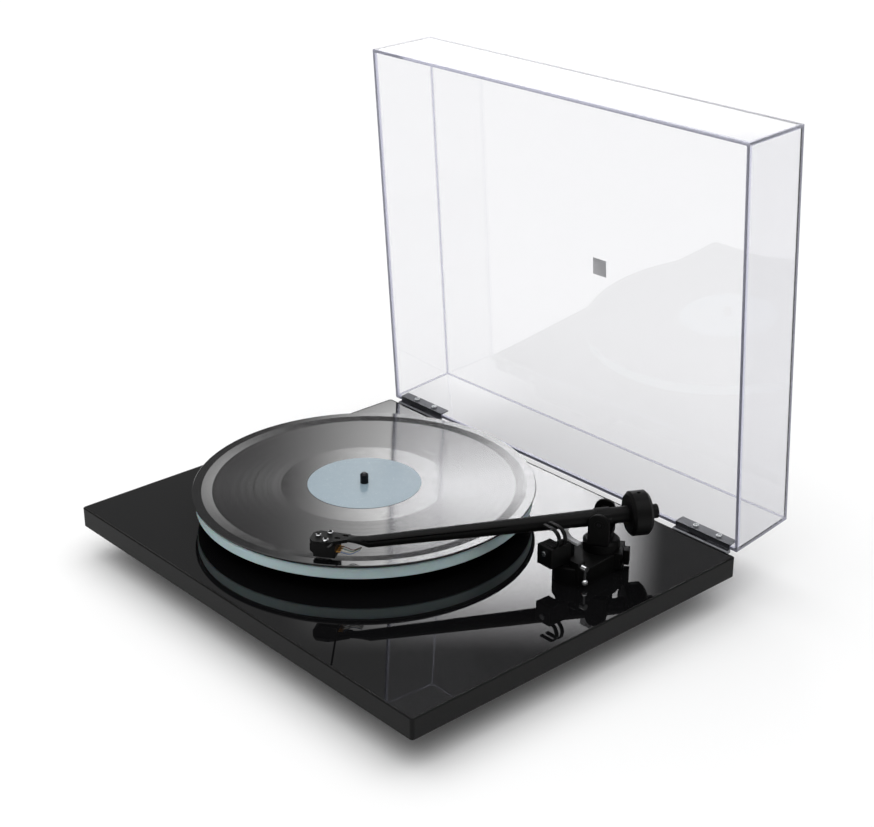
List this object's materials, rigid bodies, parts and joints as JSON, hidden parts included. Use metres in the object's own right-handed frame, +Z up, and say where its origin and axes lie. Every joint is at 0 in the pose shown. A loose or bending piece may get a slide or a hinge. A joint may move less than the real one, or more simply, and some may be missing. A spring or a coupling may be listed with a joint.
{
  "type": "record player",
  "caption": "Belt-drive record deck: flat gloss plinth, glass platter with mat and record, straight tapered pick-up arm with counterweight and cue lever, and a hinged clear lid.",
  "frame": {"origin": "on the floor under the middle of the whole deck with its lid open", "axes": "+X to the right along the front, +Y to the rear where the hinges are, +Z up"},
  "size_m": [0.447, 0.4336, 0.4078],
  "materials": {
    "board": "matt fibreboard core",
    "gloss_sheet": "mirror gloss black",
    "edge_band": "satin dark grey",
    "foot_rubber": "matt black",
    "steel": "plain steel",
    "black_steel": "satin black",
    "bright_steel": "polished",
    "bearing_brass": "turned",
    "clear_lid": "clear acrylic",
    "platter_glass": "clear float glass with a green edge",
    "felt": "felt",
    "vinyl": "grooved vinyl",
    "label_paper": "plain pale blue-grey",
    "black_plastic": "satin black",
    "black_alloy": "satin black coating",
    "bare_alloy": "turned",
    "grey_plastic": "satin grey",
    "belt_rubber": "matt",
    "circuit_board": "lacquered board",
    "lead_wire": "fine insulated copper"
  },
  "bodies": {
    "plinth": {"plinth_board": "board", "plinth_top_sheet": "gloss_sheet", "plinth_edge_trim": "edge_band", "foot_front_left": "foot_rubber", "foot_front_right": "foot_rubber", "foot_rear": "foot_rubber", "foot_screws": "steel", "main_bearing_housing": "bearing_brass", "main_bearing_nut": "steel", "thrust_ball": "steel", "motor_body": "black_steel", "motor_cover": "black_plastic", "motor_control_board": "circuit_board", "power_socket": "black_plastic", "underside_screws": "steel", "switch_body": "black_plastic", "drive_belt": "belt_rubber", "hinge_base_left": "bright_steel", "hinge_base_right": "bright_steel", "hinge_pins": "steel", "hinge_base_screws": "steel", "arm_base": "black_alloy", "arm_mount_nut": "steel", "arm_vertical_bearings": "steel", "arm_rest": "black_plastic", "arm_rest_screw": "steel", "lift_damper": "black_plastic", "signal_lead_gland": "black_plastic"},
    "platter": {"sub_platter": "black_plastic", "main_spindle": "black_steel", "glass_platter": "platter_glass", "platter_mat": "felt", "record": "vinyl", "record_labels": "label_paper"},
    "motor_rotor": {"motor_pulley": "bare_alloy", "motor_shaft": "steel"},
    "lid": {"lid_shell": "clear_lid", "lid_badge": "bare_alloy", "hinge_leaf_left": "bright_steel", "hinge_leaf_right": "bright_steel", "hinge_leaf_screws": "bright_steel"},
    "arm_yoke": {"arm_yoke": "black_alloy", "arm_vertical_shaft": "steel", "arm_horizontal_bearings": "steel"},
    "arm_pivots": {"arm_pivot_pins": "steel"},
    "arm": {"arm_tube": "black_alloy", "finger_lift": "black_alloy", "counterweight_stub": "black_steel", "cartridge_body": "black_plastic", "cartridge_screws": "bright_steel", "stylus_holder": "black_plastic", "stylus_cantilever": "bare_alloy", "headshell_leads": "lead_wire"},
    "counterweight": {"counterweight": "black_steel", "counterweight_grub_screw": "black_steel"},
    "cue_lever": {"cue_lever": "bright_steel"},
    "lift": {"lift_platform": "grey_plastic"},
    "bias_slider": {"bias_slider": "black_plastic"},
    "power_switch": {"power_switch_rocker": "black_plastic"}
  },
  "joints": [
    {"name": "platter_spin", "type": "hinge", "parent": "plinth", "child": "platter", "pos_m": [-0.0505, -0.03375, 0.0608], "axis": [0, 0, 1], "continuous": true},
    {"name": "motor_spin", "type": "hinge", "parent": "plinth", "child": "motor_rotor", "pos_m": [-0.12121, 0.03696, 0.0522], "axis": [0, 0, 1], "continuous": true},
    {"name": "lid_hinge", "type": "hinge", "parent": "plinth", "child": "lid", "pos_m": [0, 0.14565, 0.0453], "axis": [1, 0, 0], "range_deg": [0, 86.27]},
    {"name": "arm_swing", "type": "hinge", "parent": "plinth", "child": "arm_yoke", "pos_m": [0.1546, 0.05121, 0.0907], "axis": [0, 0, 1], "range_deg": [-20.77, 28]},
    {"name": "arm_cue_tilt", "type": "hinge", "parent": "arm_yoke", "child": "arm_pivots", "pos_m": [0.1546, 0.05121, 0.0907], "axis": [0.5505, -0.8349, 0], "range_deg": [-4, 0]},
    {"name": "arm_hand_tilt", "type": "hinge", "parent": "arm_pivots", "child": "arm", "pos_m": [0.1546, 0.05121, 0.0907], "axis": [0.5505, -0.8349, 0], "range_deg": [-10, 0]},
    {"name": "counterweight_slide", "type": "slide", "parent": "arm", "child": "counterweight", "axis": [-0.4868, -0.8735, 0], "range_m": [-0.002, 0.003]},
    {"name": "cue_lever_turn", "type": "hinge", "parent": "plinth", "child": "cue_lever", "pos_m": [0.1546, 0.01121, 0.0647], "axis": [1, 0, 0], "range_deg": [-90, 0]},
    {"name": "lift_rise", "type": "slide", "parent": "plinth", "child": "lift", "axis": [0, 0, 1], "range_m": [0, 0.00676]},
    {"name": "bias_slide", "type": "slide", "parent": "plinth", "child": "bias_slider", "axis": [-0.6018, 0.7986, 0], "range_m": [-0.006, 0.006]},
    {"name": "switch_rock", "type": "hinge", "parent": "plinth", "child": "power_switch", "pos_m": [-0.16, -0.20045, 0.0217], "axis": [0, 0, 1], "range_deg": [0, 14]}
  ],
  "couplings": [
    {"joint": "motor_spin", "follows": "platter_spin", "ratio": 7.5},
    {"joint": "cue_lever_turn", "follows": "arm_cue_tilt", "ratio": 22.5},
    {"joint": "lift_rise", "follows": "arm_cue_tilt", "m_per_rad": -0.096758}
  ]
}
